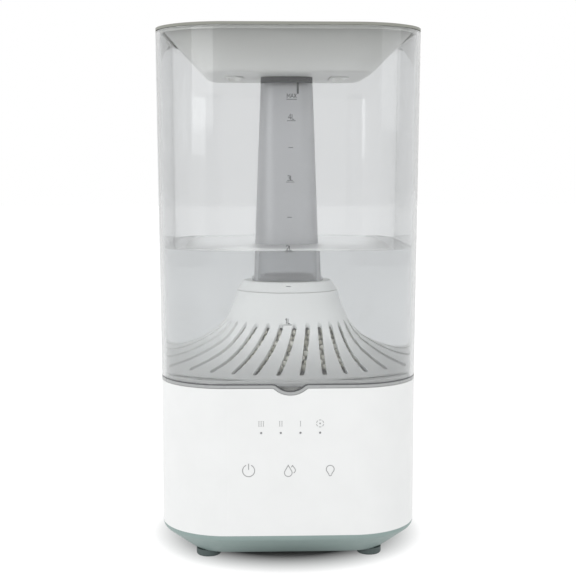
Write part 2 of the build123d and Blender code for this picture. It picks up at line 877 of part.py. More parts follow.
with BuildPart() as ceramic_beads:
    for row in range(bead_rows):
        bead_r, bead_z = bell_point(bead_depth, bead_start + row * bead_step)
        with Locations((0, 0, bead_z)):
            with PolarLocations(bead_r, slot_count, math.degrees(slot_azimuth(bead_r))):
                Sphere(bead_radius)
finish(ceramic_beads, "ceramic_beads")

# Lid: a funnel let into the tank's mouth, with fill slots, a spigot below and a port above
lid_skirt_half = tank_half(rim_z) - tank_wall - fit_gap
lid_top_half = lid_skirt_half - lid_inset
lid_bottom = rim_z - lid_depth
lid_floor = lid_bottom + lid_wall
lid_top = rim_z + fit_gap + lid_flange
lid_slant = lid_wall * math.sqrt(2)
tube_top = lid_bottom - seal_band - pin_gap
spigot_half = tube_top_half - tube_wall - fit_gap - seal_wall - pin_gap
spigot_corner = tube_top_corner - tube_wall - fit_gap - seal_wall - pin_gap
step_radius = port_radius + port_step
lid_flange_half = tank_half(rim_z) - tank_wall + lid_cover
with BuildPart() as lid:
    add(bowed_block([(lid_bottom, lid_top_half - lid_depth), (rim_z + fit_gap, lid_top_half + fit_gap)]))
    fillet(lid.faces().sort_by(Axis.Z)[0].edges(), lid_edge_round)
    add(bowed_block([(rim_z + fit_gap, lid_flange_half), (lid_top, lid_flange_half)]))
    fillet(lid.edges().group_by(Axis.Z)[-1], lid_rim_round)
    add(bowed_ring(rim_z - lid_skirt, lid_top - lid_flange, lid_skirt_half, lid_skirt_half - lid_skirt_wall))
    dish_half = lid_top_half - lid_depth + lid_wall - lid_slant
    add(
        bowed_block([(lid_floor, dish_half), (lid_top, dish_half + lid_top - lid_floor)]),
        mode=Mode.SUBTRACT,
    )
    with BuildSketch(Plane.XY.offset(lid_floor)):
        Circle(step_radius)
    extrude(amount=port_step_height)
    with BuildSketch(Plane.XY.offset(lid_floor)):
        Circle(port_radius)
    extrude(amount=port_height)
    with BuildSketch(Plane.XY.offset(lid_floor)):
        Circle(port_radius - port_wall)
    extrude(amount=port_height, mode=Mode.SUBTRACT)
    with BuildSketch(Plane.XY.offset(lid_bottom)):
        RectangleRounded(2 * spigot_half, 2 * spigot_half, spigot_corner)
    extrude(amount=-spigot_length)
    with BuildSketch(Plane.XY.offset(lid_bottom)):
        with GridLocations(2 * fill_slot_x, 0, 2, 1):
            SlotOverall(
                fill_slot_length + 2 * fill_rim_width,
                fill_slot_width + 2 * fill_rim_width,
                rotation=90,
            )
    extrude(amount=-fill_rim_height)
    with BuildSketch(Plane.XY.offset(lid_bottom - fill_rim_height)):
        with GridLocations(2 * fill_slot_x, 0, 2, 1):
            SlotOverall(fill_slot_length, fill_slot_width, rotation=90)
    extrude(amount=fill_rim_height + lid_wall, mode=Mode.SUBTRACT)
    with BuildSketch(Plane.XY.offset(lid_bottom - spigot_length)):
        passage_half = spigot_half - spigot_wall
        RectangleRounded(2 * passage_half, 2 * passage_half, spigot_corner - spigot_wall)
    extrude(amount=spigot_length + lid_wall, mode=Mode.SUBTRACT)
finish(lid, "lid")

# Soft band round the lid's flange, on the tank's rim
with BuildPart() as lid_band:
    add(
        bowed_ring(
            rim_z + pin_gap,
            lid_top - lid_band_drop,
            tank_half(rim_z) - pin_gap,
            lid_flange_half + pin_gap,
        )
    )
finish(lid_band, "lid_band")

# Dark seal on the lid's spigot: a band over the tube's head, a lip inside it and a tongue in its slot
band_bottom = lid_bottom - seal_band
with BuildPart() as tube_seal:
    with BuildSketch(Plane.XY.offset(band_bottom)):
        RectangleRounded(2 * tube_top_half, 2 * tube_top_half, tube_top_corner)
    extrude(amount=seal_band - pin_gap)
    with BuildSketch(Plane.XY.offset(lid_bottom - spigot_length)):
        seal_half = spigot_half + pin_gap + seal_wall
        seal_corner = spigot_corner + pin_gap + seal_wall
        RectangleRounded(2 * seal_half, 2 * seal_half, seal_corner)
    extrude(amount=spigot_length - seal_band)
    with BuildSketch(Plane.XY.offset(lid_bottom - spigot_length)):
        hole_half = spigot_half + pin_gap
        RectangleRounded(2 * hole_half, 2 * hole_half, spigot_corner + pin_gap)
    extrude(amount=spigot_length, mode=Mode.SUBTRACT)
    with BuildSketch(Plane.XZ.offset(tube_top_half - tube_wall)):
        tongue_low = tube_top - key_slot_length + fit_gap
        tongue_high = lid_bottom - seal_band / 2
        with Locations((key_slot_x, (tongue_low + tongue_high) / 2)):
            SlotOverall(tongue_high - tongue_low, key_slot_width - 2 * pin_gap, rotation=90)
    extrude(amount=tube_wall)
finish(tube_seal, "tube_seal")

# Mist tube: a rounded square that widens downwards to a lip on the filter's collar
tube_bottom = collar_top + fit_gap
with BuildPart() as mist_tube:
    with BuildSketch(Plane.XY.offset(tube_bottom)):
        RectangleRounded(2 * tube_bottom_half, 2 * tube_bottom_half, tube_bottom_corner)
    with BuildSketch(Plane.XY.offset(tube_top)):
        RectangleRounded(2 * tube_top_half, 2 * tube_top_half, tube_top_corner)
    loft(ruled=True)
    with BuildSketch(Plane.XY.offset(tube_bottom)):
        lip_out_half = tube_bottom_half + tube_lip
        RectangleRounded(2 * lip_out_half, 2 * lip_out_half, tube_bottom_corner + tube_lip)
    extrude(amount=tube_lip_height)
    with BuildSketch(Plane.XY.offset(tube_bottom)):
        bottom_in_half = tube_bottom_half - tube_wall
        RectangleRounded(2 * bottom_in_half, 2 * bottom_in_half, tube_bottom_corner - tube_wall)
    with BuildSketch(Plane.XY.offset(tube_top)):
        top_in_half = tube_top_half - tube_wall
        RectangleRounded(2 * top_in_half, 2 * top_in_half, tube_top_corner - tube_wall)
    loft(ruled=True, mode=Mode.SUBTRACT)
    with BuildSketch(Plane.XZ):
        with Locations((key_slot_x, tube_top)):
            SlotOverall(2 * key_slot_length, key_slot_width, rotation=90)
    extrude(amount=2 * tube_bottom_half, mode=Mode.SUBTRACT)
finish(mist_tube, "mist_tube")

# Nozzle: a cap that turns on the lid's port, its slanted top open to one side
nozzle_bottom = lid_floor + port_step_height + fit_gap
nozzle_top = nozzle_bottom + nozzle_height
nozzle_bore = port_radius + fit_gap
nozzle_radius = nozzle_bore + nozzle_wall
nozzle_fall = nozzle_radius * math.tan(math.radians(nozzle_slope))
slope_normal = (0, -math.tan(math.radians(nozzle_slope)), 1)
slope_plane = Plane(origin=(0, 0, nozzle_top - nozzle_fall), x_dir=(1, 0, 0), z_dir=slope_normal)
with BuildPart() as mist_nozzle:
    with BuildSketch(Plane.XY.offset(nozzle_bottom)):
        Circle(nozzle_radius)
    extrude(amount=nozzle_height)
    split(bisect_by=slope_plane, keep=Keep.BOTTOM)
    fillet(mist_nozzle.faces().sort_by(Axis.Z)[-1].edges(), nozzle_round)
    with BuildSketch(Plane.XY.offset(nozzle_bottom)):
        Circle(nozzle_bore)
    extrude(amount=lid_floor + port_height + fit_gap - nozzle_bottom, mode=Mode.SUBTRACT)
    with BuildSketch(slope_plane):
        SlotOverall(nozzle_mouth_length, nozzle_mouth_width)
    extrude(amount=-nozzle_height, mode=Mode.SUBTRACT)
finish(mist_nozzle, "mist_nozzle")

# Blower: scroll case on edge, with its outlet upwards and its inlet towards the front
scroll_turns = [scroll_start, scroll_start + scroll_step, scroll_start + 2 * scroll_step]
blower_z = pan_floor_top + blower_lift
blower_back = blower_y + blower_width / 2
blower_plane = Plane(origin=(blower_x, blower_back, blower_z), x_dir=(1, 0, 0), z_dir=(0, -1, 0))


def scroll_face(wall):
    """The scroll's outline, `wall` inside its outside: three quarter turns of growing radius."""
    first, second, third = (turn - wall for turn in scroll_turns)
    left = -scroll_turns[2] - scroll_step + wall
    tongue_x = left + scroll_mouth - 2 * wall
    tongue_y = math.sqrt(first**2 - tongue_x**2)
    with BuildSketch() as face:
        with BuildLine():
            half = math.sqrt(0.5)
            ThreePointArc((tongue_x, tongue_y), (first * half, first * half), (first, 0))
            ThreePointArc(
                (first, 0),
                (-scroll_step + second * half, -second * half),
                (-scroll_step, -second),
            )
            ThreePointArc(
                (-scroll_step, -second),
                (-scroll_step - third * half, scroll_step - third * half),
                (left, scroll_step),
            )
            Polyline(
                (left, scroll_step), (left, scroll_rise), (tongue_x, scroll_rise), (tongue_x, tongue_y)
            )
        make_face()
    return face.sketch


blower_foot = scroll_turns[1] - blower_wall
with BuildPart() as blower_case:
    with BuildSketch(blower_plane):
        add(scroll_face(0))
    extrude(amount=blower_width)
    with BuildSketch(blower_plane):
        with Locations((-scroll_step, -(blower_lift + blower_foot) / 2)):
            Rectangle(scroll_start, blower_lift - blower_foot)
    extrude(amount=blower_width)
    with BuildSketch(blower_plane.offset(blower_wall)):
        add(scroll_face(blower_wall))
    extrude(amount=blower_width, mode=Mode.SUBTRACT)
finish(blower_case, "blower_case")

with BuildPart() as blower_cover:
    with BuildSketch(blower_plane.offset(blower_width)):
        add(scroll_face(0))
        Circle(inlet_radius, mode=Mode.SUBTRACT)
    extrude(amount=blower_wall)
finish(blower_cover, "blower_cover")

# Motor on the case's back wall, and the wheel that turns round it
motor_plane = blower_plane.offset(blower_wall)
with BuildPart() as blower_motor:
    with BuildSketch(motor_plane):
        Circle(motor_radius)
    extrude(amount=motor_height)
    with BuildSketch(motor_plane.offset(motor_height)):
        Circle(shaft_radius)
    extrude(amount=wheel_gap + hub_wall)
finish(blower_motor, "blower_motor")

wheel_plane = motor_plane.offset(wheel_gap)
wheel_depth = blower_width - blower_wall - 2 * wheel_gap
with BuildPart() as blower_wheel:
    with BuildSketch(wheel_plane):
        Circle(wheel_radius)
        Circle(hub_radius - hub_wall, mode=Mode.SUBTRACT)
    extrude(amount=hub_wall)
    with BuildSketch(wheel_plane):
        Circle(hub_radius)
        Circle(hub_radius - hub_wall, mode=Mode.SUBTRACT)
    extrude(amount=motor_height + hub_wall)
    with BuildSketch(wheel_plane.offset(motor_height)):
        Circle(hub_radius)
        Circle(shaft_radius + pin_gap, mode=Mode.SUBTRACT)
    extrude(amount=hub_wall)
    with BuildSketch(wheel_plane):
        with PolarLocations(wheel_radius - blade_depth / 2, blade_count):
            Rectangle(blade_depth, blade_thickness, rotation=blade_lean)
    extrude(amount=wheel_depth)
    with BuildSketch(wheel_plane.offset(wheel_depth - hub_wall)):
        Circle(wheel_radius)
        Circle(wheel_radius - blade_depth / 2, mode=Mode.SUBTRACT)
    extrude(amount=hub_wall)
finish(blower_wheel, "blower_wheel")

# Air duct from the blower's mouth up to the deck
with BuildPart() as air_duct:
    with BuildSketch(Plane.XY.offset(blower_z + scroll_rise + pin_gap)):
        with Locations((air_x, blower_y)):
            Rectangle(scroll_mouth, scroll_mouth)
            Rectangle(air_mouth, air_mouth, mode=Mode.SUBTRACT)
    extrude(amount=deck_bottom - blower_z - scroll_rise - 2 * pin_gap)
finish(air_duct, "air_duct")

# Driver board on the pan's posts, with heat sink, capacitors, choke and connectors
driver_top = driver_board_bottom + board_thickness
with BuildPart() as driver_board:
    with BuildSketch(Plane.XY.offset(driver_board_bottom)):
        with Locations((driver_x, driver_y)):
            Rectangle(driver_width, driver_length)
            with GridLocations(*driver_holes, 2, 2):
                Circle(screw_radius + pin_gap, mode=Mode.SUBTRACT)
    extrude(amount=board_thickness)
finish(driver_board, "driver_board")

sink_x = driver_x + driver_width / 2 - sink_width / 2
with BuildPart() as heat_sink:
    with BuildSketch(Plane.XZ.offset(-driver_y - sink_length / 2)):
        with Locations((sink_x, driver_top + sink_base / 2)):
            Rectangle(sink_width, sink_base)
        with Locations((sink_x, driver_top + sink_height / 2)):
            with GridLocations((sink_width - sink_fin) / (sink_fins - 1), 0, sink_fins, 1):
                Rectangle(sink_fin, sink_height)
    extrude(amount=sink_length)
finish(heat_sink, "heat_sink")

choke_outer = choke_radius + choke_core
choke_x = sink_x - sink_width / 2 - choke_outer - part_gap
choke_y = driver_y + driver_length / 2 - choke_outer - part_gap
cap_pitch = 2 * cap_radius + part_gap
cap_x = driver_x - driver_width / 2 + cap_radius + part_gap
cap_y = choke_y - choke_outer - part_gap - cap_radius - cap_pitch / 2
with BuildPart() as capacitors:
    with BuildSketch(Plane.XY.offset(driver_top)):
        with Locations((cap_x, cap_y)):
            with GridLocations(0, cap_pitch, 1, 2):
                Circle(cap_radius)
    extrude(amount=cap_height)
    fillet(capacitors.edges().group_by(Axis.Z)[-1], cap_radius / 5)
finish(capacitors, "capacitors")

with BuildPart() as choke:
    with Locations((choke_x, choke_y, driver_top + choke_core)):
        Torus(choke_radius, choke_core)
finish(choke, "choke")

with BuildPart() as connectors:
    with BuildSketch(Plane.XY.offset(driver_top)):
        with Locations((driver_x, driver_y - driver_length / 2 + connector_depth / 2)):
            with GridLocations(connector_width + part_gap, 0, 2, 1):
                Rectangle(connector_width, connector_depth)
    extrude(amount=connector_height)
finish(connectors, "connectors")

# Touch board on the front wall's posts, with its pads, lamps and light pipes
touch_back_y = touch_front_y - board_thickness
with BuildPart() as touch_board:
    with BuildSketch(Plane.XZ.offset(touch_back_y)):
        with Locations((0, touch_z)):
            Rectangle(touch_width, touch_height)
            with GridLocations(*touch_holes, 2, 2):
                Circle(screw_radius + pin_gap, mode=Mode.SUBTRACT)
    extrude(amount=board_thickness)
finish(touch_board, "touch_board")

with BuildPart() as touch_pads:
    with BuildSketch(Plane.XZ.offset(touch_front_y)):
        with Locations((0, pad_z)):
            with GridLocations(pad_pitch, pad_pitch, 3, 1):
                Circle(pad_radius)
    extrude(amount=touch_gap - fit_gap)
finish(touch_pads, "touch_pads")

with BuildPart() as indicator_leds:
    with BuildSketch(Plane.XZ.offset(touch_front_y)):
        with Locations((0, dot_z)):
            with GridLocations(dot_pitch, dot_pitch, dot_count, 1):
                Rectangle(led_width, led_width)
    extrude(amount=led_height)
finish(indicator_leds, "indicator_leds")

with BuildPart() as light_pipes:
    with BuildSketch(Plane.XZ.offset(touch_front_y + led_height + pin_gap)):
        with Locations((0, dot_z)):
            with GridLocations(dot_pitch, dot_pitch, dot_count, 1):
                Circle(pipe_radius)
    extrude(amount=touch_gap - led_height - pin_gap - fit_gap)
    with BuildSketch(Plane.XZ.offset(wall_inner_y - fit_gap)):
        with Locations((0, dot_z)):
            with GridLocations(dot_pitch, dot_pitch, dot_count, 1):
                Circle(dot_radius)
    extrude(amount=housing_wall + fit_gap - pin_gap)
finish(light_pipes, "light_pipes")

# Screws of the driver board and the touch board
with BuildPart() as board_screws:
    with BuildSketch(Plane.XY.offset(driver_top)):
        with Locations((driver_x, driver_y)):
            with GridLocations(*driver_holes, 2, 2):
                Circle(screw_head_radius)
    extrude(amount=screw_head_height)
    with BuildSketch(Plane.XY.offset(driver_top)):
        with Locations((driver_x, driver_y)):
            with GridLocations(*driver_holes, 2, 2):
                Circle(screw_radius)
    extrude(amount=-screw_length)
    with BuildSketch(Plane.XZ.offset(touch_back_y)):
        with Locations((0, touch_z)):
            with GridLocations(*touch_holes, 2, 2):
                Circle(screw_head_radius)
    extrude(amount=-screw_head_height)
    with BuildSketch(Plane.XZ.offset(touch_back_y)):
        with Locations((0, touch_z)):
            with GridLocations(*touch_holes, 2, 2):
                Circle(screw_radius)
    extrude(amount=screw_length)
finish(board_screws, "board_screws")

# Night light: a lens in the deck over a small board staked below it
with BuildPart() as light_lens:
    with BuildSketch(Plane.XY.offset(deck_bottom - light_lens_flange)):
        with Locations((0, light_y)):
            SlotOverall(light_length + 2 * light_step, light_width + 2 * light_step)
    extrude(amount=light_lens_flange)
    with BuildSketch(Plane.XY.offset(deck_bottom)):
        with Locations((0, light_y)):
            SlotOverall(light_length - 2 * pin_gap, light_width - 2 * pin_gap)
    extrude(amount=deck_thickness)
finish(light_lens, "light_lens")

with BuildPart() as light_board:
    with BuildSketch(Plane.XY.offset(light_board_top)):
        with Locations((0, light_y)):
            Rectangle(light_board_length, light_board_width)
        with Locations(*light_stakes):
            Circle(light_stake_radius + pin_gap, mode=Mode.SUBTRACT)
    extrude(amount=-board_thickness)
finish(light_board, "light_board")

with BuildPart() as light_leds:
    with BuildSketch(Plane.XY.offset(light_board_top)):
        with Locations((0, light_y)):
            with GridLocations(light_length / 3, 0, 3, 1):
                Rectangle(led_width, led_width)
    extrude(amount=led_height)
finish(light_leds, "light_leds")

# Power socket: its nose stands in the rear wall, and its pin runs through to a tag behind
jack_face_y = wall_outer_y - fit_gap
jack_shoulder_y = wall_inner_y - 2 * fit_gap
with BuildPart() as power_socket:
    with BuildSketch(Plane.XZ.offset(-jack_shoulder_y)):
        with Locations((jack_x, jack_z)):
            Circle(jack_body_radius)
    extrude(amount=jack_body_length)
    with BuildSketch(Plane.XZ.offset(-jack_shoulder_y)):
        with Locations((jack_x, jack_z)):
            Circle(jack_nose_radius)
    extrude(amount=jack_shoulder_y - jack_face_y)
    with BuildSketch(Plane.XZ.offset(-jack_face_y)):
        with Locations((jack_x, jack_z)):
            Circle(jack_bore_radius)
    extrude(amount=jack_bore_depth, mode=Mode.SUBTRACT)
    with BuildSketch(Plane.XZ.offset(-jack_face_y)):
        with Locations((jack_x, jack_z)):
            Circle(jack_pin_radius + pin_gap)
    extrude(amount=reach, mode=Mode.SUBTRACT)
finish(power_socket, "power_socket")

jack_pin_y = jack_face_y - fit_gap
jack_tag_y = jack_shoulder_y - jack_body_length - jack_tag
with BuildPart() as socket_pin:
    with BuildSketch(Plane.XZ.offset(-jack_pin_y)):
        with Locations((jack_x, jack_z)):
            Circle(jack_pin_radius)
    extrude(amount=jack_pin_y - jack_tag_y)
finish(socket_pin, "socket_pin")
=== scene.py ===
import json
import math

import bpy
import numpy as np
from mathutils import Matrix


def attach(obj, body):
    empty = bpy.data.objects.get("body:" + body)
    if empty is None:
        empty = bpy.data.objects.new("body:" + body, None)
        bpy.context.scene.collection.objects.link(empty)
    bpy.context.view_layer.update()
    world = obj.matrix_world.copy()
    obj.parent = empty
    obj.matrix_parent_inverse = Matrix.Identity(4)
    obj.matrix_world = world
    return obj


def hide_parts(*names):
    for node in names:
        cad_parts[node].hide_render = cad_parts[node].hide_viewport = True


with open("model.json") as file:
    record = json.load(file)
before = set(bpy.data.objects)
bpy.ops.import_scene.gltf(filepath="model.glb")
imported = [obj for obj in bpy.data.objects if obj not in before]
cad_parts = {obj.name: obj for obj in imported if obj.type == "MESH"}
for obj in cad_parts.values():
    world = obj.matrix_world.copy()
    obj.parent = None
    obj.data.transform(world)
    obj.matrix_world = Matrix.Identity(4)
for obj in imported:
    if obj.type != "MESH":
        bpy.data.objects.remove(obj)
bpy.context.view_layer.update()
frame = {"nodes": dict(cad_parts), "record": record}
nodes = frame["nodes"]

# Sizes of the object in metres, as its solids have them
MM = 0.001
BASE_HALF = 82.0 * MM
SIDE_BOW = 1.16 * MM
CORNER_RADIUS = 43.5 * MM
SEAM_Z = 118.2 * MM
TANK_HEIGHT = 219.9 * MM
TANK_FLARE = 1.85 * MM
TANK_WALL = 2.5 * MM
FLOOR_TOP = 119.4 * MM
WATER_LEVEL = 201.0 * MM
RIM_Z = SEAM_Z + TANK_HEIGHT
BELL_CENTRE = (100.467 * MM, 185.07 * MM)
BELL_RADIUS = 68.703 * MM


def tank_half(z):
    """Half-width of the tank's outside, growing evenly with the height z above the seam."""
    return BASE_HALF + TANK_FLARE * (z - SEAM_Z) / TANK_HEIGHT


def side_arc(half):
    """Radius of the arc through a bowed side's two corners, whose middle stands SIDE_BOW proud."""
    return (half**2 + SIDE_BOW**2) / (2 * SIDE_BOW)


def wall_face(x, half):
    """Distance of a bowed side from the axis, x along it from the middle: the middle's distance
    less the arc's fall at x."""
    radius = side_arc(half)
    return half + SIDE_BOW - (radius - np.sqrt(radius**2 - x**2))


def bowed_outline(half, per_side=24, per_corner=22):
    """Points round a bowed square: a side's arc, then the round that touches it and the next side.
    The round's centre lies on the diagonal. Its distance from the arc's centre is the arc's radius
    less its own."""
    bow = side_arc(half)
    radius = CORNER_RADIUS - BASE_HALF + half
    bow_centre = bow - half - SIDE_BOW
    centre = (math.sqrt(2 * (bow - radius) ** 2 - bow_centre**2) - bow_centre) / 2
    lean = math.atan2(centre, centre + bow_centre)
    along = np.linspace(-lean, lean, per_side)
    turn = np.linspace(lean, math.pi / 2 - lean, per_corner)[1:-1]
    side = np.stack([bow * np.sin(along), bow_centre - bow * np.cos(along)], 1)
    corner = np.stack([centre + radius * np.sin(turn), -centre - radius * np.cos(turn)], 1)
    x, y = np.concatenate([side, corner]).T
    turns = np.arange(4)[:, None] * math.pi / 2
    cos, sin = np.cos(turns), np.sin(turns)
    return np.stack([(x * cos - y * sin).ravel(), (x * sin + y * cos).ravel()], 1)


def ring_faces(rings, count):
    """Quads between closed rings of `count` points, numbered ring after ring."""
    ring, point = np.meshgrid(np.arange(rings - 1), np.arange(count), indexing="ij")
    following = (point + 1) % count
    corners = [ring * count + point, ring * count + following]
    corners += [(ring + 1) * count + following, (ring + 1) * count + point]
    return np.stack(corners, -1).reshape(-1, 4)


def add_object(name, data):
    """A new object of the scene, at the origin."""
    made = bpy.data.objects.new(name, data)
    bpy.context.scene.collection.objects.link(made)
    return made


def mesh_piece(name, verts, faces, body, material, smooth=True):
    """A new piece at the origin, from points and faces, riding on a body."""
    mesh = bpy.data.meshes.new(name)
    mesh.from_pydata(verts.tolist(), [], faces)
    mesh.validate()
    mesh.polygons.foreach_set("use_smooth", np.full(len(mesh.polygons), smooth))
    mesh.materials.append(material)
    piece = add_object(name, mesh)
    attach(piece, body)
    return piece


# Finishes. Patterns are in patches to the metre, their depths in metres.
WHITE = (1.0, 1.0, 1.0, 1.0)
NOISE_LOW, NOISE_HIGH, NOISE_DETAIL = 0.3, 0.7, 2.0
SHADOW_RAYS = 8
TONE_PATCHES, TONE_DRIFT = 55.0, 0.012
GLOSS_PATCHES, GLOSS_DRIFT = 140.0, 0.05
HAZE_PATCHES, HAZE_DRIFT = 60.0, 0.03
MOULD_GRAIN, MOULD_DEPTH, MOULD_DETAIL = 2600.0, 6e-6, 3.0
FLOW_WAVE, FLOW_DEPTH, FLOW_DETAIL = 18.0, 1.2e-5, 1.0
CLAY_GRAIN, CLAY_DEPTH, CLAY_ROUGHNESS = 1800.0, 1e-5, 0.6
WHITE_ROUGHNESS = 0.42
PLASTIC_IOR, WATER_IOR = 1.49, 1.333
TUBE_CLEARNESS = 0.86
WET_EDGE = 0.3 * MM
# Smoke in a clear piece: the colour that it keeps and its density
SHELL_SMOKE = (0.12, 0.14, 0.14), 74.0
TUBE_SMOKE = (0.25, 0.26, 0.28), 45.0
WATER_SMOKE = (0.02, 0.05, 0.08), 1.4


def put(node, **values):
    """Sets a node's inputs by their names, with _ for a space."""
    for socket, value in values.items():
        node.inputs[socket.replace("_", " ")].default_value = value


def add_node(tree, kind, **values):
    """A new shader node with some of its inputs set."""
    node = tree.nodes.new("ShaderNode" + kind)
    put(node, **values)
    return node


class Finish:
    """A material under construction: a Principled surface and the nodes that feed it."""

    def __init__(self, name, colour, roughness, **sockets):
        self.material = bpy.data.materials.new(name)
        self.material.use_nodes = True
        self.tree = self.material.node_tree
        self.surface = self.tree.nodes["Principled BSDF"]
        put(self.surface, Base_Color=(*colour, 1.0), Roughness=roughness, **sockets)
        self.place = add_node(self.tree, "TexCoord").outputs["Object"]

    def feed(self, output, socket, node=None):
        """Joins an output to an input of a node, or of the surface where no node is named."""
        self.tree.links.new(output, (node or self.surface).inputs[socket])

    def noise(self, patches, detail=NOISE_DETAIL):
        """Noise fixed to the piece, with so many patches to the metre."""
        node = add_node(self.tree, "TexNoise", Scale=patches, Detail=detail)
        self.feed(self.place, "Vector", node)
        return node.outputs["Fac"]

    def height(self):
        """The height in metres, on a piece whose origin is the frame's."""
        node = add_node(self.tree, "SeparateXYZ")
        self.feed(self.place, "Vector", node)
        return node.outputs["Z"]

    def attribute(self, name):
        """A value stored on the mesh."""
        node = add_node(self.tree, "Attribute")
        node.attribute_name = name
        return node.outputs["Fac"]

    def spread(self, value, low, high, start=NOISE_LOW, end=NOISE_HIGH):
        """Maps a value between start and end onto the range low to high."""
        node = add_node(
            self.tree, "MapRange", From_Min=start, From_Max=end, To_Min=low, To_Max=high
        )
        self.feed(value, "Value", node)
        return node.outputs["Result"]

    def tint(self, value, dark, light):
        """Feeds the colour with a blend of two tints, and returns the blend."""
        node = add_node(self.tree, "Mix")
        node.data_type = "RGBA"
        first, second = [socket for socket in node.inputs if socket.type == "RGBA"]
        first.default_value, second.default_value = (*dark, 1.0), (*light, 1.0)
        self.feed(value, 0, node)
        blend = next(socket for socket in node.outputs if socket.type == "RGBA")
        self.feed(blend, "Base Color")
        return blend

    def shadow(self, colour, reach):
        """Darkens the colour in narrow slots and corners of the piece itself."""
        node = add_node(self.tree, "AmbientOcclusion", Distance=reach)
        node.only_local = True
        node.samples = SHADOW_RAYS
        self.feed(colour, "Color", node)
        self.feed(node.outputs["Color"], "Base Color")

    def gloss(self, patches, low, high):
        """Lets the roughness drift from low to high in patches."""
        self.feed(self.spread(self.noise(patches), low, high), "Roughness")

    def grain(self, patches, detail, depth):
        """Raises a fine relief, `depth` metres deep."""
        node = add_node(self.tree, "Bump", Distance=depth)
        self.feed(self.noise(patches, detail), "Height", node)
        self.feed(node.outputs["Normal"], "Normal")

    def skin(self, roughness, grain=MOULD_GRAIN, depth=MOULD_DEPTH):
        """A moulded skin: slow drifts of gloss and a fine spark-eroded grain."""
        self.gloss(GLOSS_PATCHES, roughness - GLOSS_DRIFT, roughness + GLOSS_DRIFT)
        self.grain(grain, MOULD_DETAIL, depth)

    def smoke(self, colour, density):
        """Takes light away inside the piece, more the longer the way through it."""
        node = add_node(self.tree, "VolumeAbsorption", Color=(*colour, 1.0), Density=density)
        self.feed(node.outputs["Volume"], "Volume", self.tree.nodes["Material Output"])


def moulded(name, colour, roughness, grain=MOULD_GRAIN, depth=MOULD_DEPTH, **sockets):
    """Moulded plastic, or a metal or rubber like it, with slow drifts of tone."""
    made = Finish(name, colour, roughness, **sockets)
    dark, light = (tuple(c * (1 + drift) for c in colour) for drift in (-TONE_DRIFT, TONE_DRIFT))
    made.tint(made.spread(made.noise(TONE_PATCHES), 0.0, 1.0), dark, light)
    made.skin(roughness, grain, depth)
    return made.material


def graded(name, low_colour, high_colour, low, high, roughness=WHITE_ROUGHNESS, shadow=0.0):
    """Moulded plastic whose tone drifts between two heights, from the shade it stands in."""
    made = Finish(name, high_colour, roughness)
    tone = made.tint(made.spread(made.height(), 0.0, 1.0, low, high), low_colour, high_colour)
    if shadow:
        made.shadow(tone, shadow)
    made.skin(roughness)
    return made.material


def clear(name, colour, roughness, ior, wave=FLOW_WAVE, depth=FLOW_DEPTH, smoke=None):
    """Clear moulded plastic or water: a slight haze, the waves of its surface and smoke in it."""
    made = Finish(name, colour, roughness, IOR=ior, Transmission_Weight=1.0)
    made.gloss(HAZE_PATCHES, roughness, roughness + HAZE_DRIFT)
    made.grain(wave, FLOW_DETAIL, depth)
    if smoke:
        made.smoke(*smoke)
    return made.material


def frosted_tube(name, colour, dry_roughness, wet_roughness):
    """Frosted smoky plastic, clearer below the water level, where its surface is wet."""
    made = Finish(name, colour, dry_roughness, IOR=PLASTIC_IOR, Transmission_Weight=TUBE_CLEARNESS)
    wet_edge = (WATER_LEVEL - WET_EDGE, WATER_LEVEL + WET_EDGE)
    made.feed(made.spread(made.height(), wet_roughness, dry_roughness, *wet_edge), "Roughness")
    made.grain(FLOW_WAVE, FLOW_DETAIL, FLOW_DEPTH)
    made.smoke(*TUBE_SMOKE)
    return made.material


def fired_clay(name, dark, light):
    """Fired clay: every bead has its own tone between a warm grey and a pale cream."""
    made = Finish(name, dark, CLAY_ROUGHNESS)
    made.tint(made.attribute("tone"), dark, light)
    made.grain(CLAY_GRAIN, NOISE_DETAIL, CLAY_DEPTH)
    return made.material


# Colour and roughness, and the grain's patches and depth where they differ from the usual
MOULDED = {
    "white_plastic": ((0.625, 0.632, 0.63), WHITE_ROUGHNESS),
    "sage_plastic": ((0.2, 0.262, 0.25), 0.46),
    # The feet are the skirt's sage at a third of its brightness: dark rubber, and partly painted
    # shade under the base
    "foot_rubber": ((0.062, 0.082, 0.08), 0.62, 1800.0, 1.2e-5),
    # At the mist tube's top, the dark seal and its tongue in the key slot stand partly for painted
    # shade there
    "dark_silicone": ((0.06, 0.062, 0.065), 0.55),
    "pale_silicone": ((0.6, 0.6, 0.58), 0.55),
    "band_grey": ((0.2, 0.205, 0.18), 0.5),
    "black_plastic": ((0.03, 0.03, 0.032), 0.45),
    "lamp_white": ((0.8, 0.78, 0.6), 0.35),
    "foam_grey": ((0.2, 0.2, 0.21), 0.8, 1200.0, 6e-5),
    "ferrite": ((0.05, 0.05, 0.055), 0.5),
    "board_green": ((0.02, 0.12, 0.05), 0.4, 1500.0),
}
METALS = {
    "steel": ((0.6, 0.6, 0.6), 0.3),
    "brass_disc": ((0.72, 0.55, 0.28), 0.3),
    "sink_aluminium": ((0.7, 0.71, 0.72), 0.35),
    "copper_wire": ((0.75, 0.36, 0.2), 0.3),
}
# Heights and depths over which shade falls on the tank's floor, the bell, its slots and the lid
FLOOR_SHADE = 0.5 * MM
BELL_SHADE, SLOT_SHADE = 27.0 * MM, 2.5 * MM
LID_SHADE_FOOT, LID_SHADE_HEAD = RIM_Z - 26.0 * MM, RIM_Z - 3.0 * MM

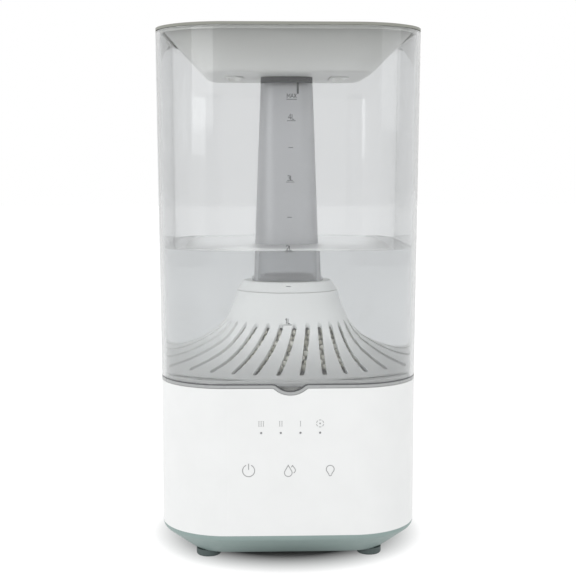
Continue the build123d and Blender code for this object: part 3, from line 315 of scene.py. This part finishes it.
finishes = {name: moulded(name, *look) for name, look in MOULDED.items()}
finishes |= {name: moulded(name, *look, Metallic=1.0) for name, look in METALS.items()}
finishes["clear_smoke"] = clear(
    "clear_smoke", (0.97, 0.975, 0.98), 0.02, PLASTIC_IOR, smoke=SHELL_SMOKE
)
finishes["clear_lens"] = clear("clear_lens", (0.95, 0.95, 0.94), 0.08, PLASTIC_IOR)
finishes["smoke_tube"] = frosted_tube("smoke_tube", (0.8, 0.805, 0.815), 0.32, 0.14)
# Painted shade: the flange below the seam is darker than the floor's top above it
finishes["smoke_floor"] = graded(
    "smoke_floor", (0.29, 0.297, 0.297), (0.4, 0.405, 0.4),
    SEAM_Z - FLOOR_SHADE, SEAM_Z + FLOOR_SHADE, roughness=0.3,
)
# Painted shade: the bell darkens towards its foot on the tank's floor, and inside its slots
finishes["filter_white"] = graded(
    "filter_white", (0.52, 0.525, 0.52), (0.88, 0.885, 0.875),
    FLOOR_TOP, FLOOR_TOP + BELL_SHADE, shadow=SLOT_SHADE,
)
finishes["ceramic"] = fired_clay("ceramic", (0.64, 0.62, 0.52), (0.98, 0.965, 0.89))
# Painted shade: the lid and its nozzle darken towards the rim's height, as if in shade under the
# tank's rim
lid_white = graded(
    "lid_white", (0.7, 0.705, 0.69), (0.46, 0.465, 0.445), LID_SHADE_FOOT, LID_SHADE_HEAD
)
dot_lens = moulded("dot_lens", (0.2, 0.205, 0.21), 0.3)
own_finish = {"lid": lid_white, "mist_nozzle": lid_white, "light_pipes": dot_lens}
for row in frame["record"]["subparts"]:
    materials = nodes[row["node"]].data.materials
    materials.clear()
    materials.append(own_finish.get(row["node"], finishes[row["material_slot"]]))

# Water in the tank: the tank's inside up to the level, with the rim of water that climbs the wall
WALL_GAP = 0.15 * MM
FLOOR_DIP = 0.15 * MM
FLOOR_ROUND, FLOOR_ROUND_STEP = 1.2 * MM, 0.35 * MM
WALL_RINGS = 12
CRISP = 0.08 * MM
MENISCUS = 0.4 * MM
MENISCUS_REACH = 0.8 * MM
TOP_INSETS = np.array([0.3, 0.6, 1.0, 1.6, 2.4, 3.6, 5.5, 8.0, 14.0]) * MM
WATER_COLOUR = (0.97, 0.98, 0.98)
WATER_WAVE, WATER_DEPTH = 30.0, 4e-5
TOP_ROUGHNESS = 0.3


def water_half(z):
    """Half-width of the water: the tank's, less its wall and a gap that keeps the two apart."""
    return tank_half(z) - TANK_WALL - WALL_GAP


def tank_water():
    """Rings from a rounded edge at the floor up the wall and in over the top. At the distance s
    from the wall the top stands MENISCUS * exp(-s / MENISCUS_REACH) over the level."""
    low = FLOOR_TOP - FLOOR_DIP
    edge = WATER_LEVEL + MENISCUS
    levels = [(low, water_half(low) - FLOOR_ROUND)]
    levels.append((low + FLOOR_ROUND_STEP, water_half(low) - FLOOR_ROUND_STEP))
    wall = np.linspace(low + FLOOR_ROUND, edge - CRISP, WALL_RINGS)
    levels += [(z, water_half(z)) for z in (*wall, edge)]
    tops = WATER_LEVEL + MENISCUS * np.exp(-TOP_INSETS / MENISCUS_REACH)
    levels += list(zip(tops, water_half(edge) - TOP_INSETS))
    rings = [np.insert(bowed_outline(half), 2, z, axis=1) for z, half in levels]
    count = len(rings[0])
    last = (len(rings) - 1) * count
    faces = ring_faces(len(rings), count).tolist()
    faces += [list(range(count))[::-1], list(range(last, last + count))]
    return np.concatenate(rings), faces


waves = (WATER_IOR, WATER_WAVE, WATER_DEPTH)
water_finish = clear("water", WATER_COLOUR, 0.0, *waves, smoke=WATER_SMOKE)
water = mesh_piece("tank_water", *tank_water(), "tank", water_finish)
# The flat middle of the top, its last face, is rougher, so that it mirrors softly
water.data.materials.append(clear("water_top", WATER_COLOUR, TOP_ROUGHNESS, *waves))
water.data.polygons[-1].material_index = 1
# Light passes straight through the clear wall and the water to what stands inside
for piece in (water, nodes["tank_shell"]):
    piece.visible_shadow = False

# Ceramic beads: a full layer of them behind the slots of the bell
BEAD_RADIUS = 2.3 * MM
BEAD_DEPTH = 4.22 * MM
BEAD_ROOM = 4.75 * MM
BEAD_FIRST_R, BEAD_LAST_Z = 39.0 * MM, 124.0 * MM
BEAD_SHIFT = 0.08
BEAD_LEAST = 0.86
BEAD_SEED = 7
ROW_STEP = BEAD_ROOM * math.sqrt(0.75)


def bead_centres(random):
    """Rows down the bell's arc, packed like bricks, each bead moved a little along its row."""
    swing = BELL_RADIUS + BEAD_DEPTH
    first = math.acos((BELL_CENTRE[0] - BEAD_FIRST_R) / swing)
    last = math.asin((BELL_CENTRE[1] - BEAD_LAST_Z) / swing)
    rows = np.arange(first, last, ROW_STEP / swing)
    centres = []
    for index, angle in enumerate(rows):
        r = BELL_CENTRE[0] - swing * math.cos(angle)
        z = BELL_CENTRE[1] - swing * math.sin(angle)
        count = int(2 * math.pi * r / BEAD_ROOM)
        shift = random.uniform(-BEAD_SHIFT, BEAD_SHIFT, count)
        spin = (np.arange(count) + 0.5 * (index % 2) + shift) * 2 * math.pi / count
        centres.append(np.column_stack([r * np.cos(spin), r * np.sin(spin), np.full(count, z)]))
    return np.concatenate(centres)


def ball(segments=8, rings=6):
    """A unit ball's points, quads and end triangles: rings at even latitudes, then the poles."""
    latitude = np.linspace(0, math.pi, rings + 1)[1:-1, None]
    longitude = np.arange(segments) * 2 * math.pi / segments
    x, y = np.sin(latitude) * np.cos(longitude), np.sin(latitude) * np.sin(longitude)
    points = np.stack([x, y, np.broadcast_to(np.cos(latitude), x.shape)], -1).reshape(-1, 3)
    quads = ring_faces(rings - 1, segments)[:, ::-1]
    here = np.arange(segments)
    following = (here + 1) % segments
    last = (rings - 2) * segments
    top = np.column_stack([here, following, np.full(segments, len(points))])
    bottom = np.column_stack([last + following, last + here, np.full(segments, len(points) + 1)])
    return np.concatenate([points, [[0, 0, 1], [0, 0, -1]]]), quads, np.concatenate([top, bottom])


def repeated(faces, copies, points):
    """The faces of one shape, numbered on for each of its copies."""
    first = np.arange(copies)[:, None, None] * points
    return (faces + first).reshape(-1, faces.shape[1]).tolist()


random = np.random.default_rng(BEAD_SEED)
centres = bead_centres(random)
unit, quads, caps = ball()
sizes = BEAD_RADIUS * random.uniform(BEAD_LEAST, 1.0, len(centres))
bead_verts = (centres[:, None] + unit * sizes[:, None, None]).reshape(-1, 3)
bead_faces = repeated(quads, len(centres), len(unit)) + repeated(caps, len(centres), len(unit))
beads = mesh_piece("bead_bed", bead_verts, bead_faces, "tank", finishes["ceramic"])
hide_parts("ceramic_beads")
tone = np.repeat(random.uniform(0, 1, len(centres)), len(unit))
tones = beads.data.attributes.new("tone", "FLOAT", "POINT")
tones.data.foreach_set("value", tone.astype(np.float32))

# Marks printed on the front wall: litre marks on the tank, icons on the base
PRINT_LOW, PRINT_HIGH = 0.02 * MM, 0.07 * MM
LEAST_COSINE = 0.4


def ribbon(path, width, closed):
    """Both sides of a strip along a path: each point moves half the width along the mean of its two
    edges' normals, divided by the cosine of half the bend."""
    path = np.asarray(path, float)
    edges = np.diff(path, axis=0, append=path[:1])
    if not closed:
        edges[-1] = edges[-2]
    edges /= np.linalg.norm(edges, axis=1, keepdims=True)
    before = np.roll(edges, 1, axis=0)
    if not closed:
        before[0] = edges[0]
    normals = np.column_stack([-edges[:, 1], edges[:, 0]])
    mean = normals + np.column_stack([-before[:, 1], before[:, 0]])
    mean /= np.linalg.norm(mean, axis=1, keepdims=True)
    reach = width / 2 / np.maximum((mean * normals).sum(1), LEAST_COSINE)
    return path + mean * reach[:, None], path - mean * reach[:, None]


def printed(name, strokes, half_at, body, material):
    """Thin closed strips on the front wall, from strokes (path, width, closed) in x and z. Each
    point of a path gives the four corners of the strip's section."""
    verts, faces, first = [], [], 0
    corner = np.arange(4)
    following = (corner + 1) % 4
    for path, width, closed in strokes:
        left, right = ribbon(path, width, closed)
        count = len(left)
        x, z = np.stack([left, right, right, left], 1).reshape(-1, 2).T
        lift = np.tile([PRINT_LOW, PRINT_LOW, PRINT_HIGH, PRINT_HIGH], count)
        verts.append(np.column_stack([x, -wall_face(x, half_at(z)) - lift, z]))
        last = 4 * (count - 1)
        if closed:
            ends = np.column_stack([corner, following, last + following, last + corner])
        else:
            ends = np.stack([corner, last + corner[::-1]])
        faces += (np.concatenate([ring_faces(count, 4)[:, ::-1], ends]) + first).tolist()
        first += 4 * count
    return mesh_piece(name, np.concatenate(verts), faces, body, material, smooth=False)


def arc(radius, start, end, steps, centre=(0.0, 0.0)):
    """Points on a circle between two angles in degrees."""
    turn = np.radians(np.linspace(start, end, steps))
    return np.column_stack([centre[0] + radius * np.cos(turn), centre[1] + radius * np.sin(turn)])


def dash(middle, z, half, width):
    """A level stroke."""
    return [(middle - half, z), (middle + half, z)], width, False


# Strokes of each sign for a height of 1, with the room it takes
TWO = np.vstack([arc(0.27, 165, -35, 14, (0.29, 0.72)), [(0.03, 0.0), (0.57, 0.0)]])
THREE = np.vstack([arc(0.25, 150, -75, 12, (0.27, 0.74)), arc(0.28, 75, -150, 12, (0.27, 0.27))])
GLYPHS = {
    "1": (0.56, [[(0.06, 0.78), (0.28, 1.0), (0.28, 0.0)]]),
    "2": (0.66, [TWO]),
    "3": (0.64, [THREE]),
    "4": (0.7, [[(0.44, 0.0), (0.44, 1.0), (0.02, 0.3), (0.6, 0.3)]]),
    "L": (0.5, [[(0.04, 1.0), (0.04, 0.0), (0.48, 0.0)]]),
    "M": (0.95, [[(0.04, 0.0), (0.04, 1.0), (0.4, 0.35), (0.76, 1.0), (0.76, 0.0)]]),
    "A": (0.82, [[(0.02, 0.0), (0.35, 1.0), (0.68, 0.0)], [(0.14, 0.34), (0.56, 0.34)]]),
    "X": (0.62, [[(0.03, 0.0), (0.59, 1.0)], [(0.03, 1.0), (0.59, 0.0)]]),
}
LITRE_Z = {
    "1L": 155.4 * MM,
    "2L": 200.8 * MM,
    "3L": 243.6 * MM,
    "4L": 280.7 * MM,
    "MAX": 293.6 * MM,
}
HALF_LITRE_Z = (179.3 * MM, 222.1 * MM, 264.5 * MM)
MARK_X, MARK_LEAN = -1.9 * MM, 2.4 * MM
MARK_CLEAR = 0.85 * MM
NUMBER_SIZE, WORD_SIZE = 3.1 * MM, 2.4 * MM
NUMBER_DASH, WORD_DASH, HALF_DASH = 2.6 * MM, 3.2 * MM, 1.4 * MM
LETTER_LINE, MARK_LINE, HALF_LINE = 0.46 * MM, 0.4 * MM, 0.36 * MM


def written(text, middle, foot, height, width):
    """The strokes of a word, centred on `middle` and standing on `foot`."""
    room = sum(GLYPHS[sign][0] for sign in text)
    x = middle - room * height / 2
    strokes = []
    for sign in text:
        space, paths = GLYPHS[sign]
        strokes += [(np.asarray(path) * height + (x, foot), width, False) for path in paths]
        x += space * height
    return strokes


def column_x(z):
    """The marks' column leans to the right by MARK_LEAN from the first mark to the last."""
    return MARK_X + MARK_LEAN * (z - LITRE_Z["1L"]) / (LITRE_Z["MAX"] - LITRE_Z["1L"])


def level_marks():
    """Litre marks up the tank's front, each a number over its line, with a short line half way."""
    strokes = []
    for text, z in LITRE_Z.items():
        word = text == "MAX"
        size = WORD_SIZE if word else NUMBER_SIZE
        strokes += written(text, column_x(z), z + MARK_CLEAR, size, LETTER_LINE)
        strokes.append(dash(column_x(z), z, WORD_DASH if word else NUMBER_DASH, MARK_LINE))
    strokes += [dash(column_x(z), z, HALF_DASH, HALF_LINE) for z in HALF_LITRE_Z]
    return strokes


ICON_Z = 62.9 * MM
ICON_LINE = 0.52 * MM
POWER_X, MIST_X, LAMP_X = -26.4 * MM, -0.7 * MM, 24.9 * MM
DOT_PITCH = 12.3 * MM
SPEED_Z = 93.1 * MM


def drop(radius, rise, centre, sweep=1.0):
    """A drop's right side: from the tip, `rise` over the round's centre, down the tangent and along
    the round. `sweep` is how much of the way it goes to the same tangent on the left."""
    lean = math.degrees(math.acos(radius / rise))
    end = 90 - lean - sweep * (360 - 2 * lean)
    return np.vstack([[(centre[0], centre[1] + rise)], arc(radius, 90 - lean, end, 28, centre)])


def power_icon(x):
    """A ring, open at its top, and a bar through the opening."""
    radius, centre_z, half_gap = 3.8 * MM, ICON_Z + 0.3 * MM, 24
    bar_foot, bar_head = ICON_Z + 0.9 * MM, ICON_Z + 4.8 * MM
    ring = arc(radius, 90 + half_gap, 450 - half_gap, 40, (x, centre_z))
    bar = [(x, bar_foot), (x, bar_head)]
    return [(ring, ICON_LINE, False), (bar, ICON_LINE, False)]


def mist_icon(x):
    """One drop in front, and the tip and the right side of another behind it."""
    front_radius, front_rise, front_centre = 2.4 * MM, 4.8 * MM, (x - 0.8 * MM, ICON_Z - 1.2 * MM)
    back_radius, back_rise, back_centre = 1.85 * MM, 3.0 * MM, (x + 1.85 * MM, ICON_Z + 0.4 * MM)
    hook_reach = (0.75 * MM, 1.0 * MM)
    front = drop(front_radius, front_rise, front_centre)
    behind = drop(back_radius, back_rise, back_centre, sweep=0.42)
    hook = behind[0] - hook_reach
    return [(front, ICON_LINE, True), (np.vstack([[hook], behind]), ICON_LINE, False)]


def lamp_icon(x):
    """A globe that narrows to its neck, with a small loop for the cap."""
    radius, centre_z = 2.48 * MM, ICON_Z + 0.85 * MM
    neck, foot, cap_gap = 0.85 * MM, ICON_Z - 2.4 * MM, 0.15 * MM
    globe = arc(radius, -40, 220, 36, (x, centre_z))
    outline = np.vstack([[(x + neck, foot)], globe, [(x - neck, foot)]])
    cap = arc(neck, 180, 360, 14, (x, foot - cap_gap))
    return [(outline, ICON_LINE, False), (cap, ICON_LINE, False)]


def speed_marks():
    """Three, two and one upright bars with fine feet, then a ring of dashes round a dot."""
    bar_half, bar_pitch, bar_line = 1.6 * MM, 1.4 * MM, 0.32 * MM
    foot_half, foot_line = 0.45 * MM, 0.15 * MM
    ring_radius, ring_line, dash_span = 2.25 * MM, 0.42 * MM, 40
    dot_radius, dot_line = 0.28 * MM, 0.5 * MM
    low, high = SPEED_Z - bar_half, SPEED_Z + bar_half
    strokes = []
    for place, bars in enumerate((3, 2, 1)):
        for offset in (np.arange(bars) - (bars - 1) / 2) * bar_pitch:
            x = (place - 1.5) * DOT_PITCH + offset
            strokes.append(([(x, low), (x, high)], bar_line, False))
            strokes += [dash(x, z, foot_half, foot_line) for z in (low, high)]
    centre = (1.5 * DOT_PITCH, SPEED_Z)
    for start in range(10, 360, 60):
        strokes.append((arc(ring_radius, start, start + dash_span, 8, centre), ring_line, False))
    strokes.append((arc(dot_radius, 0, 330, 12, centre), dot_line, True))
    return strokes


mark_ink = moulded("mark_ink", (0.1, 0.102, 0.104), 0.5)
icon_ink = moulded("icon_ink", (0.27, 0.275, 0.275), 0.5)
icons = power_icon(POWER_X) + mist_icon(MIST_X) + lamp_icon(LAMP_X) + speed_marks()
printed("level_marks", level_marks(), tank_half, "tank", mark_ink)
printed("panel_icons", icons, lambda z: BASE_HALF, "base", icon_ink)

# Camera at the photograph's place
CAMERA_PLACE = (-0.02640, -0.80990, 0.25631)
CAMERA_DIP, CAMERA_PAN = 6.115, -1.949
FOCAL_LENGTH, SENSOR_WIDTH = 74.02, 36.0
lens = bpy.data.cameras.new("camera")
lens.lens = FOCAL_LENGTH
lens.sensor_width = SENSOR_WIDTH
camera = add_object("camera", lens)
camera.location = CAMERA_PLACE
camera.rotation_euler = (math.radians(90 - CAMERA_DIP), 0.0, math.radians(CAMERA_PAN))
bpy.context.scene.camera = camera

# White studio: a white surround that dims a little overhead
HORIZON_LIGHT, ZENITH_LIGHT = 1.0, 0.9
DIM_FROM, DIM_TO = math.sin(math.radians(12)), math.sin(math.radians(48))
world = bpy.data.worlds.new("studio")
bpy.context.scene.world = world
world.use_nodes = True
sky = world.node_tree
surround = sky.nodes["Background"]
put(surround, Color=WHITE)
direction = add_node(sky, "TexCoord")
axes = add_node(sky, "SeparateXYZ")
rise = add_node(
    sky, "MapRange", From_Min=DIM_FROM, From_Max=DIM_TO, To_Min=HORIZON_LIGHT, To_Max=ZENITH_LIGHT
)
rise.interpolation_type = "SMOOTHSTEP"
sky.links.new(direction.outputs["Generated"], axes.inputs["Vector"])
sky.links.new(axes.outputs["Z"], rise.inputs["Value"])
sky.links.new(rise.outputs["Result"], surround.inputs["Strength"])
bpy.context.scene.view_settings.view_transform = "Standard"

# The floor glows a little away from the object, which keeps it white and its shadow faint
FLOOR_HALF = 6.0
FLOOR_TONE, FLOOR_ROUGHNESS = (0.26, 0.26, 0.26), 0.8
FLOOR_GLOW = 0.78
GLOW_START, GLOW_FULL = 0.06, 0.095
floor_finish = Finish("studio_floor", FLOOR_TONE, FLOOR_ROUGHNESS, Emission_Color=WHITE)
distance = add_node(floor_finish.tree, "VectorMath")
distance.operation = "LENGTH"
floor_finish.feed(floor_finish.place, 0, distance)
glow = floor_finish.spread(distance.outputs["Value"], 0.0, FLOOR_GLOW, GLOW_START, GLOW_FULL)
floor_finish.feed(glow, "Emission Strength")
floor_mesh = bpy.data.meshes.new("floor")
floor_corners = np.array([(-1, -1, 0), (1, -1, 0), (1, 1, 0), (-1, 1, 0)]) * FLOOR_HALF
floor_mesh.from_pydata(floor_corners.tolist(), [], [(0, 1, 2, 3)])
floor_mesh.materials.append(floor_finish.material)
floor = add_object("floor", floor_mesh)

LIGHT_AIM = (0.0, 0.0, 0.15)
LIGHT_SIZE = 1.2


def softbox(name, place, power):
    """A square soft light that faces the object and isn't mirrored in it."""
    lamp = bpy.data.lights.new(name, "AREA")
    lamp.shape = "SQUARE"
    lamp.size = LIGHT_SIZE
    lamp.energy = power
    box = add_object(name, lamp)
    x, y, z = np.subtract(place, LIGHT_AIM)
    box.location = place
    box.rotation_euler = (math.atan2(math.hypot(x, y), z), 0.0, math.atan2(x, -y))
    box.visible_glossy = False


softbox("key_left", (-1.1, -1.3, 0.85), 14.0)
softbox("fill_right", (1.5, -0.6, 0.85), 8.5)
softbox("back_light", (-1.0, 1.2, 1.4), 10.0)
